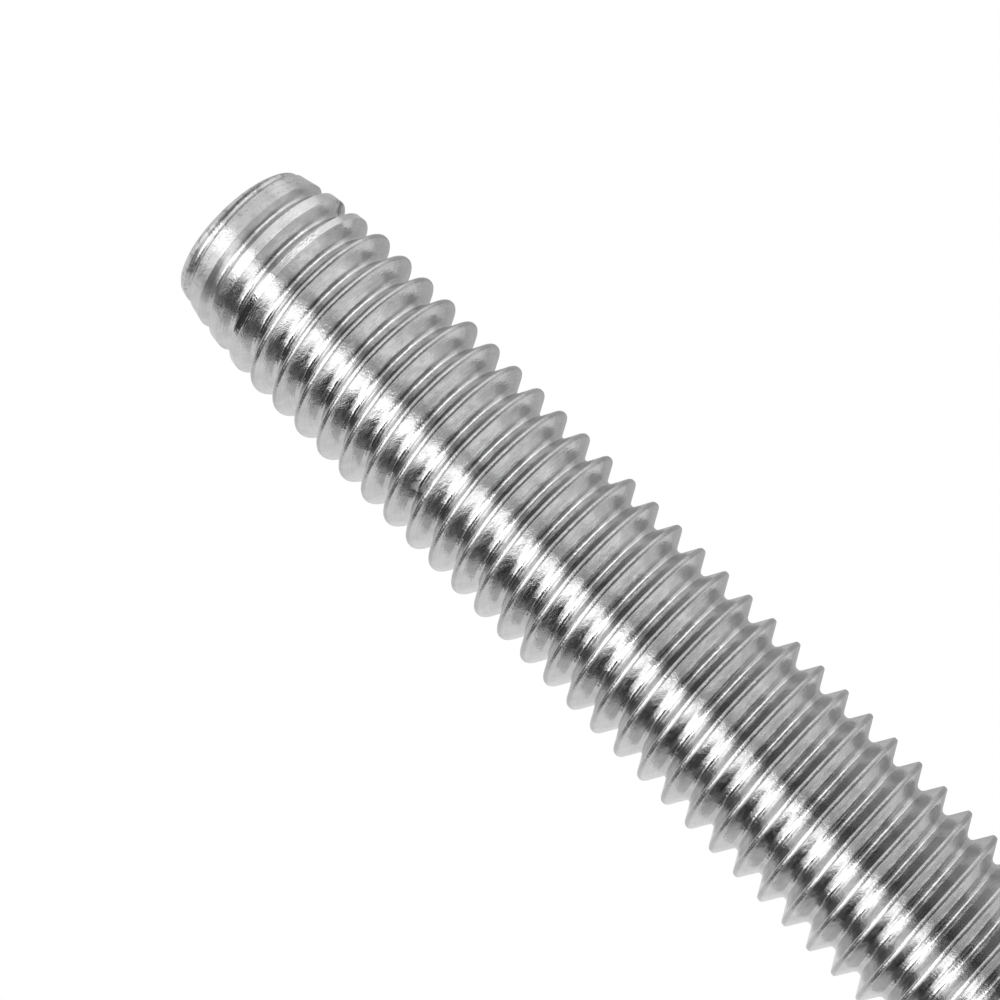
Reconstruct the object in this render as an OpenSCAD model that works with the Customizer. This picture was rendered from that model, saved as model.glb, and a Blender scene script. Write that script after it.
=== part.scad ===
// Fully threaded rod, M8 coarse, standing on one end along +Z.
// A helical ridge runs the whole length as one closed skin with crests that are
// too sharp. The turned blank cuts it to its crest diameter, to a gentle taper and
// a lead-in cone at each tip and to the two flat ends, so the grooves run out over
// the cones and are all but gone where the edge of the end is broken.

/* [Thread] */
// Diameter over the crests, mm
major_d = 7.8; // [6:0.1:12]
// Distance along the rod from one crest to the next, mm
pitch = 1.25; // [1.1:0.05:1.75]
// Height of the crests above the root, mm
thread_h = 0.73; // [0.4:0.01:0.9]
// Width of the flat left on a crest, mm
crest_w = 0.12; // [0.1:0.01:0.2]
// Angle between the two flanks of a groove, degrees
flank_angle = 60; // [50:1:65]
// Turn of the whole thread about the rod, degrees
start_angle = 25; // [0:5:355]

/* [Rod] */
// Length from end to end, mm
rod_l = 70; // [30:1:90]
// Length of the lead-in cone at each tip, mm
lead_l = 1.8; // [0.6:0.1:4]
// How far the lead-in comes in from the crests at the tip, mm
lead_drop = 0.7; // [0.2:0.05:0.9]
// Width of the broken edge round each flat end, mm
rim_w = 0.2; // [0.1:0.05:0.4]
// Distance from each end to where the crests have their full diameter, mm
taper_l = 4.5; // [2:0.1:8]
// How far the crests still come in where the lead-in cone ends, mm
taper_drop = 0.28; // [0.1:0.01:0.4]

/* [Smoothness] */
// Facets round one turn of the thread
steps = 20; // [16:1:24]

/* [Hidden] */

major_r = major_d / 2;
tip_r = major_r - lead_drop;
core_r = major_r - thread_h;

// Section of the ridge: foot, point, foot, each as [along the rod, radius].
// The point stands above the crests by the height that its flat takes off.
flank_tan = tan(flank_angle / 2);
foot_w = crest_w / 2 + thread_h * flank_tan;
point_r = major_r + crest_w / 2 / flank_tan;
SECTION = [[-foot_w, core_r], [0, point_r], [foot_w, core_r]];

// The ridge starts below the foot of the rod and ends above its top.
run_out = 1.5 * pitch;
turns = ceil((rod_l + 2 * run_out) / pitch);
rows = turns * steps;
sides = len(SECTION);

// One corner of the skin: row counts along the helix, side along the section.
function corner(row, side) =
    let (angle = 360 * row / steps, r = SECTION[side][1])
    [r * cos(angle), r * sin(angle), pitch * row / steps - run_out + SECTION[side][0]];

// Number of that corner in the list of points
function id(row, side) = row * sides + side;

bottom = id(rows + 1, 0);
top = bottom + 1;
points = [
    for (row = [0:rows], side = [0:sides - 1]) corner(row, side),
    [0, 0, -run_out - pitch],
    [0, 0, pitch * turns],
];

// Two triangles over a four-cornered patch
function patch(a, b, c, d) = [[a, b, c], [b, d, c]];

last = sides - 1;
flanks = [
    for (row = [0:rows - 1], side = [0:sides - 2])
        each patch(id(row, side), id(row + 1, side), id(row, side + 1), id(row + 1, side + 1))
];
// The root joins one turn's upper foot to the next turn's lower foot.
root = [
    for (row = [0:rows - steps - 1])
        each patch(id(row, last), id(row + 1, last), id(row + steps, 0), id(row + steps + 1, 0))
];
// Fans close the first and the last turn on points of the axis.
bottom_fan = [for (row = [0:steps - 1]) [id(row, 0), bottom, id(row + 1, 0)]];
top_fan = [for (row = [rows - steps:rows - 1]) [id(row, last), id(row + 1, last), top]];
// The step where a turn starts or stops is closed by the ends of the ridge.
bottom_step = [
    [id(0, 0), id(steps, 0), bottom],
    [id(0, 0), id(0, 1), id(0, 2)],
    [id(0, 0), id(0, 2), id(steps, 0)],
];
top_step = [
    [id(rows, last), id(rows - steps, last), top],
    [id(rows, 0), id(rows, 2), id(rows, 1)],
    [id(rows, 2), id(rows, 0), id(rows - steps, last)],
];

module ridge() {
    polyhedron(
        points = points,
        faces = concat(flanks, root, bottom_fan, top_fan, bottom_step, top_step),
        convexity = 10
    );
}

// One end of the turned bar, from its flat face up to the full diameter
half_blank = [
    [0, 0],
    [tip_r - rim_w, 0],
    [tip_r, rim_w],
    [major_r - taper_drop, lead_l],
    [major_r, taper_l],
];
other_half = [for (i = [len(half_blank) - 1:-1:0]) [half_blank[i][0], rod_l - half_blank[i][1]]];

module blank() {
    rotate_extrude($fn = 96)
        polygon(concat(half_blank, other_half));
}

module threaded_rod() {
    color("silver")
        intersection() {
            rotate([0, 0, start_angle])
                ridge();
            blank();
        }
}

threaded_rod();
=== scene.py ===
"""The threaded rod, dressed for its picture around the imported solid.

The thread is rolled again with rounded crests and roots, in place of the faceted
solid, and gets a bright zinc plate. Lengths are metres, and the rod stands along +Z.
"""

import logging
import math
from dataclasses import dataclass
from enum import Enum

import bpy
from mathutils import Matrix, Vector


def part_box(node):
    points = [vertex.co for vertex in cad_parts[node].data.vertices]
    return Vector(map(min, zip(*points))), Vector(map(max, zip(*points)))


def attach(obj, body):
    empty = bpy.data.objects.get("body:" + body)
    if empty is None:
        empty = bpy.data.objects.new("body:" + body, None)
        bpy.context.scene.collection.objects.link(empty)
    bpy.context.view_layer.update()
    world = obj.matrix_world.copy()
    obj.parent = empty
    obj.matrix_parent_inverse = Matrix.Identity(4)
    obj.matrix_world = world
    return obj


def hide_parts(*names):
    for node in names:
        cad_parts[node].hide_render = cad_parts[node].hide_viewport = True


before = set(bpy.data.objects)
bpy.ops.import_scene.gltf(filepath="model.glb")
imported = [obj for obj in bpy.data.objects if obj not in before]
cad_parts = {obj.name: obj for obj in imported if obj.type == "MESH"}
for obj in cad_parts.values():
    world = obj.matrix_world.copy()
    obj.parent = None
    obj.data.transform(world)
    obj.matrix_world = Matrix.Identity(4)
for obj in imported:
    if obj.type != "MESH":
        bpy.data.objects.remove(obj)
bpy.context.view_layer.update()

log = logging.getLogger("threaded_rod")

MM = 1e-3
IMAGE_PX = 1000
SENSOR = 36.0
NEAR_CLIP = 0.01

# places that are less than this apart count as the same
SAME_PLACE = 1e-6
# points that are less than this from a cut count as on it
ON_CUT = 1e-8
# a face counts as flat when its normal is at least this upright
FLAT = 0.9

# how far the nearest card stands from the rod, and each next one behind it
NEAREST_CARD = 0.4
CARD_GAP = 0.02
CARD_FACETS = 180

FLOOR_SIZE = 2.0
FLOOR_TONE = 0.8
FLOOR_ROUGH = 0.9

# the ranges that most, and nearly all, of a noise's tones lie in
NOISE_CORE = (0.35, 0.65)
NOISE_SPAN = (0.3, 0.7)


class End(Enum):
    """An end of the rod, by the way that its flat face looks."""

    LOWER = -1
    UPPER = 1

    def height(self, length: float, inside: float) -> float:
        """Find the height of a place that lies some way inside this end of a rod."""
        return length - inside if self is End.UPPER else inside


def deselect_everything() -> None:
    """Leave nothing selected, so that an operator acts on the new piece alone."""
    if bpy.context.mode != "OBJECT":
        bpy.ops.object.mode_set(mode="OBJECT")
    bpy.ops.object.select_all(action="DESELECT")


@dataclass
class ThreadForm:
    """The section of the ridge, from the middle of one root to the next.

    Args:
        pitch: distance from one crest to the next.
        crest_r: radius over the crests.
        depth: height of the crests above the root.
        crest_w: width across a crest before its corners are rounded.
        flank_angle: angle between the flanks of a groove, in degrees.
        crest_round: how far each crest corner is rounded.
        root_round: how far each root corner is rounded.
    """

    pitch: float
    crest_r: float
    depth: float
    crest_w: float
    flank_angle: float
    crest_round: float
    root_round: float

    @property
    def root_r(self) -> float:
        """Radius at the bottom of the groove."""
        return self.crest_r - self.depth

    def corners(self) -> list[tuple[float, float]]:
        """List the section's corners.

        Returns:
            Pairs of radius and height, from the lower root to the upper one.
        """
        slope = math.tan(math.radians(self.flank_angle / 2))
        half_crest = self.crest_w / 2
        foot = half_crest + self.depth * slope
        half_pitch = self.pitch / 2
        return [
            (self.root_r, -half_pitch),
            (self.root_r, -foot),
            (self.crest_r, -half_crest),
            (self.crest_r, half_crest),
            (self.root_r, foot),
            (self.root_r, half_pitch),
        ]


@dataclass
class Rod:
    """The rod itself, as one mesh.

    Args:
        form: the thread's section.
        length: length from end to end.
        tip_r: radius where the lead-in meets the rim.
        lead: length of each lead-in cone.
        taper: distance from each end to where the crests are full.
        taper_drop: how far the crests still come in where the cone ends.
        rim: how far the edge of each flat end is rounded.
        start_angle: turn of the thread about the rod, in degrees.
        segments: facets round one turn.
        rounding: edges across each rounded corner of the section.
        rim_edges: edges across the rounded rim.
        overhang: how far the ridge runs past each end before it is trimmed, in pitches.
        weld: points that are less than this apart are merged.
        smooth_under: edges that turn by less than this are shaded smooth, in degrees.
        name: name of the finished piece.
    """

    form: ThreadForm
    length: float
    tip_r: float
    lead: float
    taper: float
    taper_drop: float
    rim: float
    start_angle: float
    segments: int = 72
    rounding: int = 3
    rim_edges: int = 4
    overhang: float = 0.3
    weld: float = 0.002 * MM
    smooth_under: float = 28.0
    name: str = "rolled_thread"

    def build(self) -> bpy.types.Object:
        """Model the rod.

        Returns:
            The finished piece, with its place in its mesh.
        """
        thread = self.roll_thread()
        blank = self.turn_blank()
        self.trim(thread, blank)
        return thread

    def roll_thread(self) -> bpy.types.Object:
        """Wind the section up the rod and close it past both ends.

        Returns:
            The endless ridge, longer than the rod.
        """
        deselect_everything()
        corners = self.form.corners()
        r, z = corners[0]
        bpy.ops.mesh.primitive_plane_add(size=self.form.pitch)
        thread = bpy.context.object
        thread.name = thread.data.name = self.name
        bpy.ops.object.mode_set(mode="EDIT")
        bpy.ops.mesh.select_all(action="SELECT")
        bpy.ops.mesh.merge(type="CENTER")
        bpy.ops.transform.translate(value=(r, 0, z))
        for (r0, z0), (r1, z1) in zip(corners, corners[1:]):
            bpy.ops.mesh.extrude_region_move(
                TRANSFORM_OT_translate={"value": (r1 - r0, 0, z1 - z0)}
            )
        self.round_corners(thread, self.form.crest_r, self.form.crest_round)
        self.round_corners(thread, self.form.root_r, self.form.root_round)
        bpy.ops.object.mode_set(mode="OBJECT")

        spare_turns = 3
        screw = thread.modifiers.new("winding", "SCREW")
        screw.axis = "Z"
        screw.angle = math.tau
        screw.screw_offset = self.form.pitch
        screw.iterations = math.ceil(self.length / self.form.pitch) + spare_turns
        screw.steps = screw.render_steps = self.segments
        bpy.ops.object.modifier_apply(modifier=screw.name)

        # on the solid, before its turn, the crest at angle 0 lies half a pitch up
        crest_up = 0.5
        turns_below = 2
        shift = self.form.pitch * (crest_up - turns_below)
        bpy.ops.object.mode_set(mode="EDIT")
        bpy.ops.mesh.select_all(action="SELECT")
        bpy.ops.mesh.remove_doubles(threshold=self.weld)
        bpy.ops.transform.translate(value=(0, 0, shift))
        bpy.ops.object.mode_set(mode="OBJECT")
        thread.data.transform(Matrix.Rotation(math.radians(self.start_angle), 4, "Z"))
        margin = self.overhang * self.form.pitch
        bpy.ops.object.mode_set(mode="EDIT")
        for end in End:
            bpy.ops.mesh.select_all(action="SELECT")
            bpy.ops.mesh.bisect(
                plane_co=(0, 0, end.height(self.length, -margin)),
                plane_no=(0, 0, end.value),
                use_fill=True,
                clear_outer=True,
                threshold=ON_CUT,
            )
        bpy.ops.mesh.select_all(action="SELECT")
        bpy.ops.mesh.normals_make_consistent(inside=False)
        bpy.ops.object.mode_set(mode="OBJECT")
        return thread

    def round_corners(self, piece: bpy.types.Object, radius: float, size: float) -> None:
        """Round the section's inner corners that lie at one radius.

        Args:
            piece: the section, in edit mode.
            radius: how far from the axis the corners are.
            size: how far the rounding reaches from each corner.
        """
        bpy.ops.mesh.select_all(action="DESELECT")
        bpy.ops.object.mode_set(mode="OBJECT")
        # the two open ends of the section stay sharp
        end = self.form.pitch / 2 - SAME_PLACE
        for v in piece.data.vertices:
            v.select = abs(v.co.x - radius) < SAME_PLACE and abs(v.co.z) < end
        bpy.ops.object.mode_set(mode="EDIT")
        bpy.ops.mesh.select_mode(type="VERT")
        bpy.ops.mesh.bevel(offset=size, segments=self.rounding, affect="VERTICES", profile=0.5)

    def turn_blank(self) -> bpy.types.Object:
        """Turn the bar that the thread is trimmed to.

        Returns:
            A closed bar with a taper, a cone, a rounded rim and a flat at each end.
        """
        deselect_everything()
        clear = 0.05 * MM
        side_r = self.form.crest_r + clear
        shoulder = self.taper + (self.taper - self.lead) * clear / self.taper_drop
        bpy.ops.mesh.primitive_cylinder_add(
            vertices=self.segments * 2,
            radius=side_r,
            depth=self.length - 2 * shoulder,
            end_fill_type="NGON",
            location=(0, 0, self.length / 2),
        )
        blank = bpy.context.object
        blank.name = blank.data.name = "blank"
        bpy.ops.object.transform_apply(location=True, rotation=False, scale=False)
        stages = (
            (shoulder, side_r),
            (self.lead, self.form.crest_r - self.taper_drop),
            (0.0, self.tip_r),
        )
        for end in End:
            for (inside, wide), (next_inside, narrow) in zip(stages, stages[1:]):
                start = end.height(self.length, inside)
                stop = end.height(self.length, next_inside)
                self.select_faces(blank, start)
                bpy.ops.mesh.extrude_region_move(
                    TRANSFORM_OT_translate={"value": (0, 0, stop - start)}
                )
                small = narrow / wide
                bpy.ops.transform.resize(value=(small, small, 1), center_override=(0, 0, stop))
            bpy.ops.mesh.bevel(offset=self.rim, segments=self.rim_edges, profile=0.5)
            bpy.ops.object.mode_set(mode="OBJECT")
        return blank

    def select_faces(self, piece: bpy.types.Object, height: float) -> None:
        """Enter edit mode with the faces that lie flat at one height.

        Args:
            piece: the mesh to select on.
            height: where the faces are.
        """
        bpy.ops.object.mode_set(mode="EDIT")
        bpy.ops.mesh.select_mode(type="FACE")
        bpy.ops.mesh.select_all(action="DESELECT")
        bpy.ops.object.mode_set(mode="OBJECT")
        for face in piece.data.polygons:
            level = abs(face.center.z - height) < SAME_PLACE
            face.select = level and abs(face.normal.z) > FLAT
        bpy.ops.object.mode_set(mode="EDIT")

    def trim(self, thread: bpy.types.Object, blank: bpy.types.Object) -> None:
        """Cut the thread to the blank and take the blank away.

        Args:
            thread: the endless ridge.
            blank: the bar that it is trimmed to.
        """
        deselect_everything()
        bpy.context.view_layer.objects.active = thread
        thread.select_set(True)
        cut = thread.modifiers.new("trim", "BOOLEAN")
        cut.operation = "INTERSECT"
        cut.solver = "MANIFOLD"
        cut.object = blank
        bpy.ops.object.modifier_apply(modifier=cut.name)
        bpy.data.objects.remove(blank)
        bpy.ops.object.shade_smooth_by_angle(angle=math.radians(self.smooth_under))


@dataclass(frozen=True)
class Mark:
    """A small mark of wear on the plate.

    Args:
        place: the middle of the mark.
        size: radius that its ragged edge lies about.
        tone: how bright the mark mirrors beside the plate, as a factor.
        rough: roughness within the mark.
        ragged: least and greatest factor that the noise puts on the distance from its middle.
        fade: where the mark starts and stops to fade, as shares of its size.
    """

    place: Vector
    size: float
    tone: float
    rough: float
    ragged: tuple[float, float] = (0.5, 1.9)
    fade: tuple[float, float] = (0.5, 1.2)


@dataclass(frozen=True)
class ZincPlate:
    """Bright zinc plate over a rolled thread.

    Args:
        root_r: radius at the bottom of the groove.
        crest_r: radius over the crests.
        length: length of the rod.
        marks: the marks of wear on it.
        name: what the material is called.
        pale: tone that the clean plate mirrors with.
        dull: tone that the stained patches mirror with.
        sheen: roughness of the flanks, from their smooth lines to their dull ones.
        crest_rough: roughness of the crests.
        crest_tone: how much darker than the flanks the crests mirror, as a factor.
        crest_band: how far down the flanks the finish of the crests reaches.
        tip_rough: roughness of the lead-ins, which were cut and not rolled.
        tip_zone: distances from an end between which the lead-in's finish sets in.
        root_shade_tone: how much darker the roots mirror, as a factor; this is painted shade in the
            thread's roots.
        line_tone: how much darker the rolling lines mirror, as a factor.
        line_w: width of the rolling lines along the flanks.
        line_l: how far a rolling line runs before it fades.
        line_depth: depth of the rolling lines.
        blotch: size of the cloudy patches.
        blotch_depth: how deep the plate waves with the patches.
        stained: tones of the clouds between which a patch stains the plate.
        grain: size of the plate's crystals.
        grain_depth: depth between the crystals.
        speck: size of the dark specks by the ends, and of the notches in the edges of the marks.
        speck_dark: how much a speck takes from the tone.
        specked: tones of the noise between which a speck sets in.
        speck_zone: distances from an end between which the specks set in.
    """

    root_r: float
    crest_r: float
    length: float
    marks: tuple[Mark, ...]
    name: str = "zinc_plate"
    pale: float = 0.7
    dull: float = 0.6
    sheen: tuple[float, float] = (0.09, 0.16)
    crest_rough: float = 0.28
    crest_tone: float = 0.8
    crest_band: float = 0.08 * MM
    tip_rough: float = 0.28
    tip_zone: tuple[float, float] = (4.2 * MM, 2.2 * MM)
    # painted shade: how far the base colour darkens in the thread's roots
    root_shade_tone: float = 0.93
    line_tone: float = 0.9
    line_w: float = 0.05 * MM
    line_l: float = 2.5 * MM
    line_depth: float = 0.006 * MM
    blotch: float = 0.8 * MM
    blotch_depth: float = 0.032 * MM
    stained: tuple[float, float] = (0.38, 0.66)
    grain: float = 0.07 * MM
    grain_depth: float = 0.008 * MM
    speck: float = 0.25 * MM
    speck_dark: float = 0.35
    specked: tuple[float, float] = (0.56, 0.64)
    speck_zone: tuple[float, float] = (1.6 * MM, 0.4 * MM)

    def material(self) -> bpy.types.Material:
        """Make the node material.

        Returns:
            A metal whose tone, roughness and fine relief follow the thread.
        """
        mat = bpy.data.materials.new(self.name)
        mat.use_nodes = True
        tree = mat.node_tree
        shader = tree.nodes["Principled BSDF"]
        shader.inputs["Metallic"].default_value = 1.0
        place = tree.nodes.new("ShaderNodeTexCoord").outputs["Object"]
        radius = self.radius(tree, place)
        lines = self.lines(tree, place, radius)
        clouds = self.noise(tree, place, self.blotch, detail=3.0)
        crystals = self.noise(tree, place, self.grain, detail=1.0)
        ragged = self.noise(tree, place, self.speck, detail=2.0)
        worn = [self.within(tree, place, ragged, mark) for mark in self.marks]
        crest = (self.crest_r - self.crest_band, self.crest_r)

        tone = self.spread(tree, clouds, self.stained, (1.0, self.dull / self.pale))
        # painted shade: the base colour darkens towards the roots of the grooves
        painted_root_shade = self.spread(tree, radius, (self.root_r, self.crest_r), (self.root_shade_tone, 1.0))
        tone = self.times(tree, tone, painted_root_shade)
        ruled = self.spread(tree, lines, NOISE_CORE, (self.line_tone, 1.0))
        tone = self.times(tree, tone, ruled)
        rubbed = self.spread(tree, radius, crest, (1.0, self.crest_tone))
        tone = self.times(tree, tone, rubbed)
        tone = self.times(tree, tone, self.specks(tree, place))
        for mark, inside in zip(self.marks, worn):
            tone = self.times(tree, tone, self.spread(tree, inside, (0.0, 1.0), (1.0, mark.tone)))
        grey = tree.nodes.new("ShaderNodeMix")
        grey.data_type = "RGBA"
        grey.inputs["A"].default_value = (0, 0, 0, 1)
        grey.inputs["B"].default_value = (self.pale, self.pale, self.pale, 1)
        tree.links.new(tone, grey.inputs["Factor"])
        tree.links.new(grey.outputs["Result"], shader.inputs["Base Color"])

        rough = self.spread(tree, lines, NOISE_SPAN, self.sheen)
        rough = self.most(tree, rough, self.spread(tree, radius, crest, (0.0, self.crest_rough)))
        rough = self.most(tree, rough, self.near_ends(tree, place, self.tip_zone, self.tip_rough))
        for mark, inside in zip(self.marks, worn):
            rough = self.most(tree, rough, self.times(tree, inside, mark.rough))
        tree.links.new(rough, shader.inputs["Roughness"])

        relief = self.relief(tree, clouds, self.blotch_depth, None)
        relief = self.relief(tree, lines, self.line_depth, relief)
        relief = self.relief(tree, crystals, self.grain_depth, relief)
        tree.links.new(relief, shader.inputs["Normal"])
        return mat

    def radius(self, tree: bpy.types.NodeTree, place: bpy.types.NodeSocket) -> bpy.types.NodeSocket:
        """Measure the distance from the rod's axis.

        Args:
            tree: the material's nodes.
            place: the point on the rod.

        Returns:
            The radius at that point.
        """
        level = tree.nodes.new("ShaderNodeVectorMath")
        level.operation = "MULTIPLY"
        level.inputs[1].default_value = (1, 1, 0)
        tree.links.new(place, level.inputs[0])
        reach = tree.nodes.new("ShaderNodeVectorMath")
        reach.operation = "LENGTH"
        tree.links.new(level.outputs["Vector"], reach.inputs[0])
        return reach.outputs["Value"]

    def lines(
        self, tree: bpy.types.NodeTree, place: bpy.types.NodeSocket, radius: bpy.types.NodeSocket
    ) -> bpy.types.NodeSocket:
        """Draw the lines that rolling leaves, which run round the rod at one radius.

        Args:
            tree: the material's nodes.
            place: the point on the rod.
            radius: its distance from the axis.

        Returns:
            A tone about 0.5 that changes fast across a flank and slowly along it.
        """
        across = self.times(tree, radius, self.line_l / self.line_w)
        noise = tree.nodes.new("ShaderNodeTexNoise")
        noise.noise_dimensions = "4D"
        noise.inputs["Scale"].default_value = 1 / self.line_l
        noise.inputs["Detail"].default_value = 2.0
        tree.links.new(place, noise.inputs["Vector"])
        tree.links.new(across, noise.inputs["W"])
        return noise.outputs["Fac"]

    def noise(
        self, tree: bpy.types.NodeTree, place: bpy.types.NodeSocket, size: float, detail: float
    ) -> bpy.types.NodeSocket:
        """Draw an even noise.

        Args:
            tree: the material's nodes.
            place: the point on the rod.
            size: size of its largest spots.
            detail: how many finer layers it has.

        Returns:
            A tone about 0.5.
        """
        noise = tree.nodes.new("ShaderNodeTexNoise")
        noise.inputs["Scale"].default_value = 1 / size
        noise.inputs["Detail"].default_value = detail
        tree.links.new(place, noise.inputs["Vector"])
        return noise.outputs["Fac"]

    def specks(self, tree: bpy.types.NodeTree, place: bpy.types.NodeSocket) -> bpy.types.NodeSocket:
        """Scatter dark specks over the lead-in at each end.

        Args:
            tree: the material's nodes.
            place: the point on the rod.

        Returns:
            A tone of 1 that falls where a speck is.
        """
        spots = self.noise(tree, place, self.speck, detail=2.0)
        dark = self.spread(tree, spots, self.specked, (0.0, self.speck_dark))
        near_end = self.near_ends(tree, place, self.speck_zone, 1.0)
        clean = tree.nodes.new("ShaderNodeMath")
        clean.operation = "SUBTRACT"
        clean.inputs[0].default_value = 1.0
        tree.links.new(self.times(tree, dark, near_end), clean.inputs[1])
        return clean.outputs["Value"]

    def within(
        self,
        tree: bpy.types.NodeTree,
        place: bpy.types.NodeSocket,
        ragged: bpy.types.NodeSocket,
        mark: Mark,
    ) -> bpy.types.NodeSocket:
        """Find where a mark of wear is.

        Args:
            tree: the material's nodes.
            place: the point on the rod.
            ragged: a fine noise that breaks up the mark's edge.
            mark: the mark.

        Returns:
            1 within the mark and 0 round it.
        """
        reach = tree.nodes.new("ShaderNodeVectorMath")
        reach.operation = "DISTANCE"
        reach.inputs[1].default_value = mark.place
        tree.links.new(place, reach.inputs[0])
        stretch = self.spread(tree, ragged, NOISE_CORE, mark.ragged)
        edge = self.times(tree, reach.outputs["Value"], stretch)
        inner, outer = mark.fade
        return self.spread(tree, edge, (inner * mark.size, outer * mark.size), (1.0, 0.0))

    def near_ends(
        self,
        tree: bpy.types.NodeTree,
        place: bpy.types.NodeSocket,
        reach: tuple[float, float],
        most: float,
    ) -> bpy.types.NodeSocket:
        """Raise a value towards both ends of the rod.

        Args:
            tree: the material's nodes.
            place: the point on the rod.
            reach: distances from an end where the value starts and stops to rise.
            most: the value at the ends.

        Returns:
            The value, 0 along the middle of the rod.
        """
        height = tree.nodes.new("ShaderNodeSeparateXYZ")
        tree.links.new(place, height.inputs["Vector"])
        offset = tree.nodes.new("ShaderNodeMath")
        offset.operation = "SUBTRACT"
        offset.inputs[1].default_value = self.length / 2
        tree.links.new(height.outputs["Z"], offset.inputs[0])
        from_middle = tree.nodes.new("ShaderNodeMath")
        from_middle.operation = "ABSOLUTE"
        tree.links.new(offset.outputs["Value"], from_middle.inputs[0])
        start, stop = reach
        zone = (self.length / 2 - start, self.length / 2 - stop)
        return self.spread(tree, from_middle.outputs["Value"], zone, (0.0, most))

    def spread(
        self,
        tree: bpy.types.NodeTree,
        value: bpy.types.NodeSocket,
        start: tuple[float, float],
        end: tuple[float, float],
    ) -> bpy.types.NodeSocket:
        """Spread a value from one range to another and hold it there.

        Args:
            tree: the material's nodes.
            value: what is spread.
            start: the range that it comes in.
            end: the range that it goes out in.

        Returns:
            The value in its new range.
        """
        node = tree.nodes.new("ShaderNodeMapRange")
        node.inputs["From Min"].default_value, node.inputs["From Max"].default_value = start
        node.inputs["To Min"].default_value, node.inputs["To Max"].default_value = end
        tree.links.new(value, node.inputs["Value"])
        return node.outputs["Result"]

    def times(
        self, tree: bpy.types.NodeTree, value: bpy.types.NodeSocket, factor: bpy.types.NodeSocket | float
    ) -> bpy.types.NodeSocket:
        """Multiply a value.

        Args:
            tree: the material's nodes.
            value: what is multiplied.
            factor: a number or another value.

        Returns:
            The product.
        """
        node = tree.nodes.new("ShaderNodeMath")
        node.operation = "MULTIPLY"
        tree.links.new(value, node.inputs[0])
        if isinstance(factor, float):
            node.inputs[1].default_value = factor
        else:
            tree.links.new(factor, node.inputs[1])
        return node.outputs["Value"]

    def most(
        self, tree: bpy.types.NodeTree, value: bpy.types.NodeSocket, other: bpy.types.NodeSocket
    ) -> bpy.types.NodeSocket:
        """Take the greater of two values.

        Args:
            tree: the material's nodes.
            value: one value.
            other: the other value.

        Returns:
            The greater one.
        """
        node = tree.nodes.new("ShaderNodeMath")
        node.operation = "MAXIMUM"
        tree.links.new(value, node.inputs[0])
        tree.links.new(other, node.inputs[1])
        return node.outputs["Value"]

    def relief(
        self,
        tree: bpy.types.NodeTree,
        height: bpy.types.NodeSocket,
        depth: float,
        under: bpy.types.NodeSocket | None,
    ) -> bpy.types.NodeSocket:
        """Lay a fine relief over another.

        Args:
            tree: the material's nodes.
            height: the relief, from 0 to 1.
            depth: how deep it is.
            under: the normal of the relief below it, where there is one.

        Returns:
            The normal over both.
        """
        bump = tree.nodes.new("ShaderNodeBump")
        bump.inputs["Distance"].default_value = depth
        tree.links.new(height, bump.inputs["Height"])
        if under:
            tree.links.new(under, bump.inputs["Normal"])
        return bump.outputs["Normal"]


@dataclass(frozen=True)
class Card:
    """A curved card that the metal mirrors and the camera doesn't see.

    Args:
        name: what the card is called.
        tone: how bright it is, with white paper at 1.
        turn: middle of the card, in degrees from the camera's side toward +X.
        spread: width of the card as the rod sees it, in degrees.
        low: elevation of its lower edge, in degrees.
        high: elevation of its upper edge, in degrees.
        lean: how far its top leans toward +X, in degrees.
    """

    name: str
    tone: float
    turn: float
    spread: float
    low: float
    high: float
    lean: float = 0.0

    def stand(self, middle: Vector, distance: float) -> bpy.types.Object:
        """Stand the card round the rod.

        Args:
            middle: the point of the rod that the angles are counted from.
            distance: how far from the rod the card is.

        Returns:
            The card.
        """
        deselect_everything()
        bottom = distance * math.tan(math.radians(self.low))
        top = distance * math.tan(math.radians(self.high))
        bpy.ops.mesh.primitive_cylinder_add(
            vertices=CARD_FACETS, radius=distance, depth=top - bottom, end_fill_type="NOTHING"
        )
        card = bpy.context.object
        card.name = card.data.name = self.name
        bpy.ops.object.mode_set(mode="EDIT")
        bpy.ops.mesh.select_mode(type="FACE")
        bpy.ops.mesh.select_all(action="DESELECT")
        bpy.ops.object.mode_set(mode="OBJECT")
        for face in card.data.polygons:
            turned = math.degrees(math.atan2(face.center.x, -face.center.y))
            face.select = abs(turned) > self.spread / 2
        bpy.ops.object.mode_set(mode="EDIT")
        bpy.ops.mesh.delete(type="FACE")
        bpy.ops.object.mode_set(mode="OBJECT")
        lean = Matrix.Rotation(math.radians(self.lean), 4, "Y")
        turn = Matrix.Rotation(math.radians(self.turn), 4, "Z")
        height = Matrix.Translation((0, 0, (top + bottom) / 2))
        card.data.transform(Matrix.Translation(middle) @ turn @ height @ lean)
        card.data.materials.append(self.paper())
        card.visible_camera = False
        card.visible_diffuse = False
        card.visible_shadow = False
        return card

    def paper(self) -> bpy.types.Material:
        """Make the card's even tone.

        Returns:
            A material that glows with the card's tone.
        """
        mat = bpy.data.materials.new(self.name)
        mat.use_nodes = True
        nodes = mat.node_tree.nodes
        nodes.clear()
        glow = nodes.new("ShaderNodeEmission")
        glow.inputs["Color"].default_value = (1, 1, 1, 1)
        glow.inputs["Strength"].default_value = self.tone
        out = nodes.new("ShaderNodeOutputMaterial")
        mat.node_tree.links.new(glow.outputs["Emission"], out.inputs["Surface"])
        return mat


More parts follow.
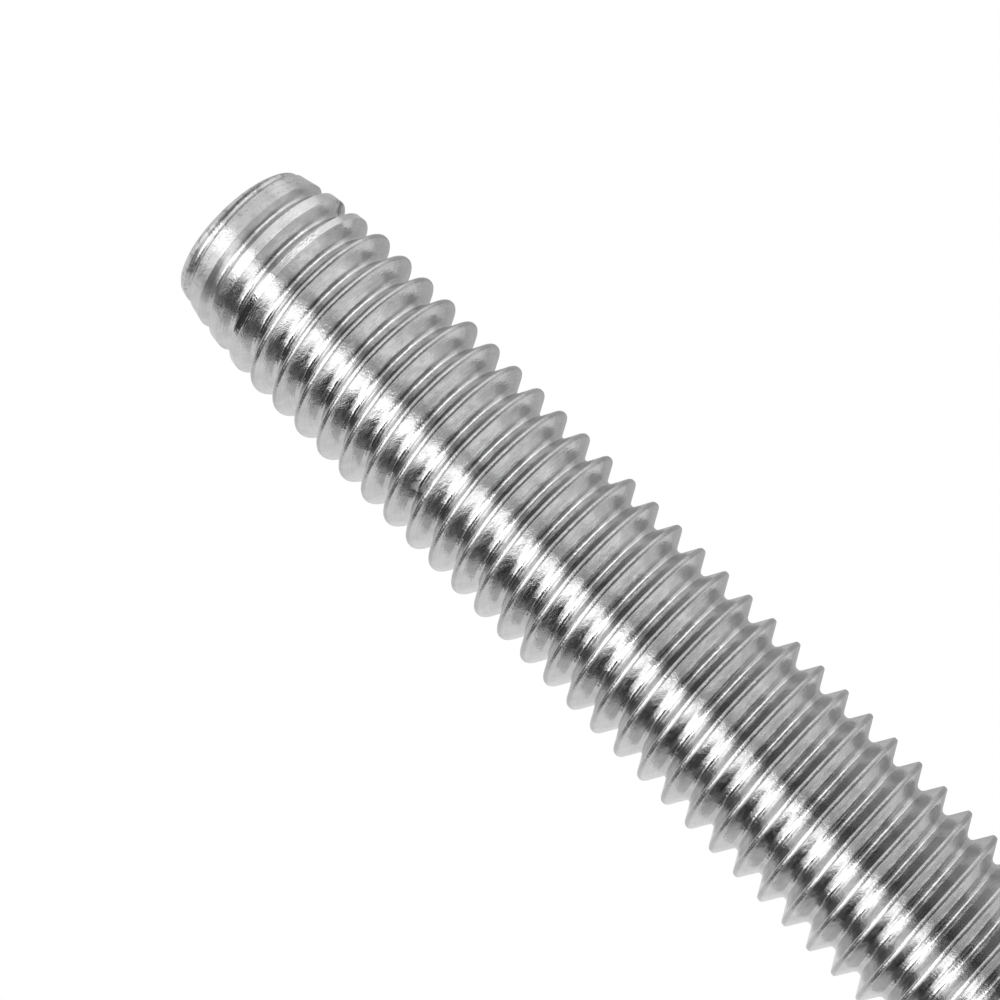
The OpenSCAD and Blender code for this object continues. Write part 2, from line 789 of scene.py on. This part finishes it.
@dataclass
class Studio:
    """Floor, backdrop, cards and camera.

    Args:
        aim: the point that the camera looks at.
        distance: from the camera to that point.
        tilt: how far the camera looks up, in degrees.
        roll: how far the camera is rolled, in degrees.
        focal_px: focal length in pixels of the square picture.
        tent: how bright the tent round the rod is where the metal mirrors it.
    """

    aim: Vector
    distance: float
    tilt: float
    roll: float
    focal_px: float
    tent: float

    def camera(self) -> bpy.types.Object:
        """Place the camera.

        Returns:
            The scene's camera.
        """
        data = bpy.data.cameras.new("camera")
        data.sensor_width = SENSOR
        data.lens = SENSOR * self.focal_px / IMAGE_PX
        data.clip_start = NEAR_CLIP
        cam = bpy.data.objects.new("camera", data)
        bpy.context.scene.collection.objects.link(cam)
        tilt = math.radians(self.tilt)
        place = self.aim - self.distance * Vector((0, math.cos(tilt), math.sin(tilt)))
        level = Matrix.Rotation(math.pi / 2 + tilt, 4, "X")
        roll = Matrix.Rotation(math.radians(self.roll), 4, "Z")
        cam.matrix_world = Matrix.Translation(place) @ level @ roll
        bpy.context.scene.camera = cam
        return cam

    def white_tent(self) -> None:
        """Show the camera a white backdrop and the metal a soft grey one."""
        world = bpy.data.worlds.new("white_tent")
        bpy.context.scene.world = world
        world.use_nodes = True
        nodes = world.node_tree.nodes
        links = world.node_tree.links
        tent = nodes["Background"]
        tent.inputs["Color"].default_value = (1, 1, 1, 1)
        tent.inputs["Strength"].default_value = self.tent
        backdrop = nodes.new("ShaderNodeBackground")
        backdrop.inputs["Color"].default_value = (1, 1, 1, 1)
        path = nodes.new("ShaderNodeLightPath")
        either = nodes.new("ShaderNodeMixShader")
        links.new(path.outputs["Is Camera Ray"], either.inputs["Fac"])
        links.new(tent.outputs["Background"], either.inputs[1])
        links.new(backdrop.outputs["Background"], either.inputs[2])
        links.new(either.outputs["Shader"], nodes["World Output"].inputs["Surface"])
        bpy.context.scene.view_settings.view_transform = "Standard"

    def floor(self) -> bpy.types.Object:
        """Lay the pale floor that the rod stands on.

        Returns:
            The floor.
        """
        deselect_everything()
        bpy.ops.mesh.primitive_plane_add(size=FLOOR_SIZE)
        floor = bpy.context.object
        floor.name = floor.data.name = "floor"
        mat = bpy.data.materials.new("pale_floor")
        mat.use_nodes = True
        shader = mat.node_tree.nodes["Principled BSDF"]
        shader.inputs["Base Color"].default_value = (FLOOR_TONE, FLOOR_TONE, FLOOR_TONE, 1)
        shader.inputs["Roughness"].default_value = FLOOR_ROUGH
        floor.data.materials.append(mat)
        floor.visible_glossy = False
        return floor


# name, tone, turn, spread, low and high; where two overlap, the one that comes first is in front
CARDS = (
    Card("softbox", 3.5, -37.0, 32.0, -14.0, 22.0, lean=16.0),
    Card("softbox_upper", 3.4, -26.0, 26.0, 22.0, 42.0, lean=20.0),
    Card("softbox_edge", 1.0, -15.0, 8.0, -14.0, 36.0, lean=14.0),
    Card("softbox_side", 2.0, -61.0, 15.0, -14.0, 10.0, lean=14.0),
    Card("flag_corner", 0.04, -71.0, 56.0, 10.0, 39.0),
    Card("softbox_low", 1.8, -45.0, 40.0, -38.0, -14.0),
    Card("softbox_foot", 1.0, -48.0, 40.0, -62.0, -38.0),
    Card("softbox_top", 1.6, -32.0, 28.0, 38.0, 62.0),
    Card("softbox_top_side", 1.5, -61.0, 32.0, 39.0, 62.0),
    Card("flag_side", 0.1, -84.0, 42.0, -38.0, 0.0),
    Card("flag_side_screen", 0.35, -87.0, 36.0, 0.0, 14.0),
    Card("flag_side_top", 0.25, -79.0, 40.0, 14.0, 38.0),
    Card("flag_side_foot", 0.3, -92.0, 48.0, -62.0, -38.0),
    Card("flag_front", 0.22, 2.0, 26.0, -12.0, 12.0),
    Card("flag_front_top", 0.7, -3.0, 16.0, 12.0, 60.0),
    Card("table_front", 0.04, 6.0, 34.0, -38.0, -12.0),
    Card("table_foot", 0.15, 8.0, 60.0, -64.0, -38.0),
    Card("table_right", 0.28, 46.0, 46.0, -64.0, -12.0),
    Card("table_side", 0.45, 86.0, 34.0, -64.0, -12.0),
    Card("dusk_right", 0.3, 38.0, 48.0, -12.0, 5.0),
    Card("dusk_right_top", 0.58, 38.0, 48.0, 5.0, 13.0),
    Card("fill", 1.85, 43.0, 66.0, 13.0, 30.0),
    Card("fill_side", 1.25, 92.0, 32.0, 13.0, 37.0),
    Card("wall_right", 0.5, 146.0, 64.0, -24.0, 18.0),
    Card("wall_back", 0.6, 146.0, 64.0, 18.0, 60.0),
)

# a light bruise on the lower side, and a dark patch near the tip
MARKS = (
    Mark(Vector((-2.1, -2.5, 57.05)) * MM, size=0.3 * MM, tone=1.25, rough=0.42),
    Mark(Vector((3.5, -0.3, 67.7)) * MM, size=0.5 * MM, tone=0.4, rough=0.4),
)


def main() -> None:
    """Build the rod, light it and report."""
    logging.basicConfig(level=logging.INFO, format="%(message)s")
    _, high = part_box("threaded_rod")
    form = ThreadForm(
        pitch=1.25 * MM,
        crest_r=3.89 * MM,
        depth=0.73 * MM,
        crest_w=0.165 * MM,
        flank_angle=60.0,
        crest_round=0.055 * MM,
        root_round=0.137 * MM,
    )
    rod = Rod(
        form,
        high[2],
        tip_r=3.2 * MM,
        lead=1.8 * MM,
        taper=4.5 * MM,
        taper_drop=0.28 * MM,
        rim=0.25 * MM,
        start_angle=25.0,
    )
    piece = rod.build()
    piece.data.materials.clear()
    zinc = ZincPlate(form.root_r, form.crest_r, rod.length, MARKS)
    piece.data.materials.append(zinc.material())
    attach(piece, "root")
    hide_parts("threaded_rod")
    log.info("%s: %d faces", piece.name, len(piece.data.polygons))

    studio = Studio(
        aim=Vector((-0.22, 0, 54.95)) * MM,
        distance=100.8 * MM,
        tilt=12.4,
        roll=-44.98,
        focal_px=2642.0,
        tent=0.84,
    )
    studio.camera()
    studio.white_tent()
    studio.floor()
    for layer, card in enumerate(CARDS):
        card.stand(studio.aim, NEAREST_CARD + layer * CARD_GAP)
        log.info("card: %s", card.name)


if __name__ == "__main__":
    main()
